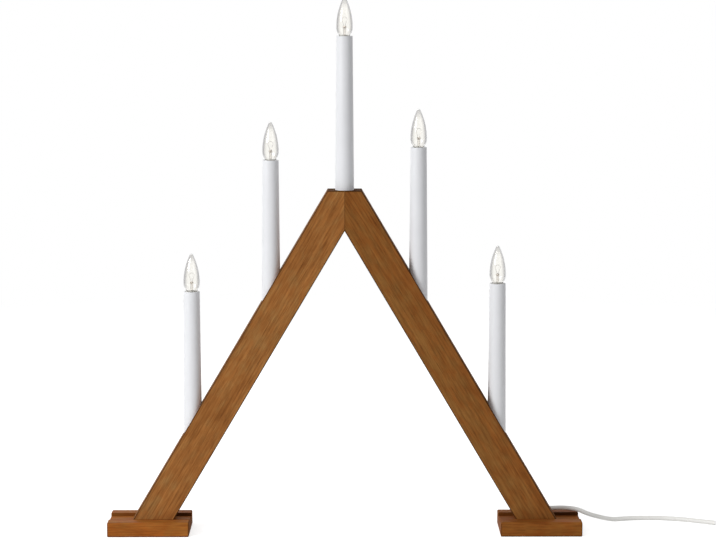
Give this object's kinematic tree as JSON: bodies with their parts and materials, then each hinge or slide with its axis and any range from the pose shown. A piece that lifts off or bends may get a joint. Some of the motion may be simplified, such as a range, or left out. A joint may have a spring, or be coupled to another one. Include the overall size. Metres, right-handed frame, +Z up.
{
  "type": "electric candle arch",
  "caption": "Wooden A-shaped electric candle arch: leaning mitred legs on grooved feet, white tube candles stepped up both sides, clear flame lamps, put-away mains cord.",
  "frame": {"origin": "bottom centre of the arch, on the table, on the middle plane of the mitre", "axes": "+X to the right leg, +Y to the back where the wiring is, +Z up"},
  "size_m": [0.7982, 0.1107, 0.5368],
  "materials": {
    "stained_wood": "satin stain",
    "plain_wood": "bare",
    "steel": "zinc plated",
    "lead_white": "soft",
    "brass": "bright",
    "clip_white": "satin",
    "cord_white": "soft satin",
    "plug_white": "satin",
    "plug_metal": "nickel plated",
    "sleeve_grey": "satin",
    "candle_white": "glossy",
    "holder_cream": "satin",
    "clear_glass": "clear",
    "base_black": "vitreous",
    "mount_glass": "pressed"
  },
  "bodies": {
    "arch": {"left_leg": "stained_wood", "right_leg": "stained_wood", "left_foot": "stained_wood", "right_foot": "stained_wood", "mitre_dowels": "plain_wood", "foot_screws": "steel", "clip_screw": "steel", "lead_staples": "steel", "left_flat_lead": "lead_white", "right_flat_lead": "lead_white", "candle_leads": "lead_white", "feed_lead": "lead_white", "centre_contacts": "brass", "cord_clip": "clip_white", "cord_tie": "clip_white", "cord_run": "cord_white", "cord_coil": "cord_white", "cord_tail": "cord_white", "plug_body": "plug_white", "plug_pins": "plug_metal", "plug_sleeves": "sleeve_grey", "top_candle_tube": "candle_white", "top_lamp_holder": "holder_cream", "top_socket_shell": "brass", "upper_left_candle_tube": "candle_white", "upper_left_lamp_holder": "holder_cream", "upper_left_socket_shell": "brass", "upper_right_candle_tube": "candle_white", "upper_right_lamp_holder": "holder_cream", "upper_right_socket_shell": "brass", "lower_left_candle_tube": "candle_white", "lower_left_lamp_holder": "holder_cream", "lower_left_socket_shell": "brass", "lower_right_candle_tube": "candle_white", "lower_right_lamp_holder": "holder_cream", "lower_right_socket_shell": "brass"},
    "top_lamp_rise": {"top_lamp_base": "base_black"},
    "top_lamp": {"top_lamp_glass": "clear_glass", "top_lamp_cap": "brass", "top_lamp_mount": "mount_glass"},
    "upper_left_lamp_rise": {"upper_left_lamp_base": "base_black"},
    "upper_left_lamp": {"upper_left_lamp_glass": "clear_glass", "upper_left_lamp_cap": "brass", "upper_left_lamp_mount": "mount_glass"},
    "upper_right_lamp_rise": {"upper_right_lamp_base": "base_black"},
    "upper_right_lamp": {"upper_right_lamp_glass": "clear_glass", "upper_right_lamp_cap": "brass", "upper_right_lamp_mount": "mount_glass"},
    "lower_left_lamp_rise": {"lower_left_lamp_base": "base_black"},
    "lower_left_lamp": {"lower_left_lamp_glass": "clear_glass", "lower_left_lamp_cap": "brass", "lower_left_lamp_mount": "mount_glass"},
    "lower_right_lamp_rise": {"lower_right_lamp_base": "base_black"},
    "lower_right_lamp": {"lower_right_lamp_glass": "clear_glass", "lower_right_lamp_cap": "brass", "lower_right_lamp_mount": "mount_glass"}
  },
  "joints": [
    {"name": "top_lamp_lift", "type": "slide", "parent": "arch", "child": "top_lamp_rise", "axis": [0, 0, 1], "range_m": [0, 0.00907]},
    {"name": "top_lamp_turn", "type": "hinge", "parent": "top_lamp_rise", "child": "top_lamp", "pos_m": [0, 0, 0.2], "axis": [0, 0, 1], "range_deg": [0, 1800]},
    {"name": "upper_left_lamp_lift", "type": "slide", "parent": "arch", "child": "upper_left_lamp_rise", "axis": [0, 0, 1], "range_m": [0, 0.00907]},
    {"name": "upper_left_lamp_turn", "type": "hinge", "parent": "upper_left_lamp_rise", "child": "upper_left_lamp", "pos_m": [-0.0736, 0, 0.2], "axis": [0, 0, 1], "range_deg": [0, 1800]},
    {"name": "upper_right_lamp_lift", "type": "slide", "parent": "arch", "child": "upper_right_lamp_rise", "axis": [0, 0, 1], "range_m": [0, 0.00907]},
    {"name": "upper_right_lamp_turn", "type": "hinge", "parent": "upper_right_lamp_rise", "child": "upper_right_lamp", "pos_m": [0.0736, 0, 0.2], "axis": [0, 0, 1], "range_deg": [0, 1800]},
    {"name": "lower_left_lamp_lift", "type": "slide", "parent": "arch", "child": "lower_left_lamp_rise", "axis": [0, 0, 1], "range_m": [0, 0.00907]},
    {"name": "lower_left_lamp_turn", "type": "hinge", "parent": "lower_left_lamp_rise", "child": "lower_left_lamp", "pos_m": [-0.1531, 0, 0.2], "axis": [0, 0, 1], "range_deg": [0, 1800]},
    {"name": "lower_right_lamp_lift", "type": "slide", "parent": "arch", "child": "lower_right_lamp_rise", "axis": [0, 0, 1], "range_m": [0, 0.00907]},
    {"name": "lower_right_lamp_turn", "type": "hinge", "parent": "lower_right_lamp_rise", "child": "lower_right_lamp", "pos_m": [0.1531, 0, 0.2], "axis": [0, 0, 1], "range_deg": [0, 1800]}
  ],
  "couplings": [
    {"joint": "top_lamp_turn", "follows": "top_lamp_lift", "rad_per_m": 3463.7},
    {"joint": "upper_left_lamp_turn", "follows": "upper_left_lamp_lift", "rad_per_m": 3463.7},
    {"joint": "upper_right_lamp_turn", "follows": "upper_right_lamp_lift", "rad_per_m": 3463.7},
    {"joint": "lower_left_lamp_turn", "follows": "lower_left_lamp_lift", "rad_per_m": 3463.7},
    {"joint": "lower_right_lamp_turn", "follows": "lower_right_lamp_lift", "rad_per_m": 3463.7}
  ]
}
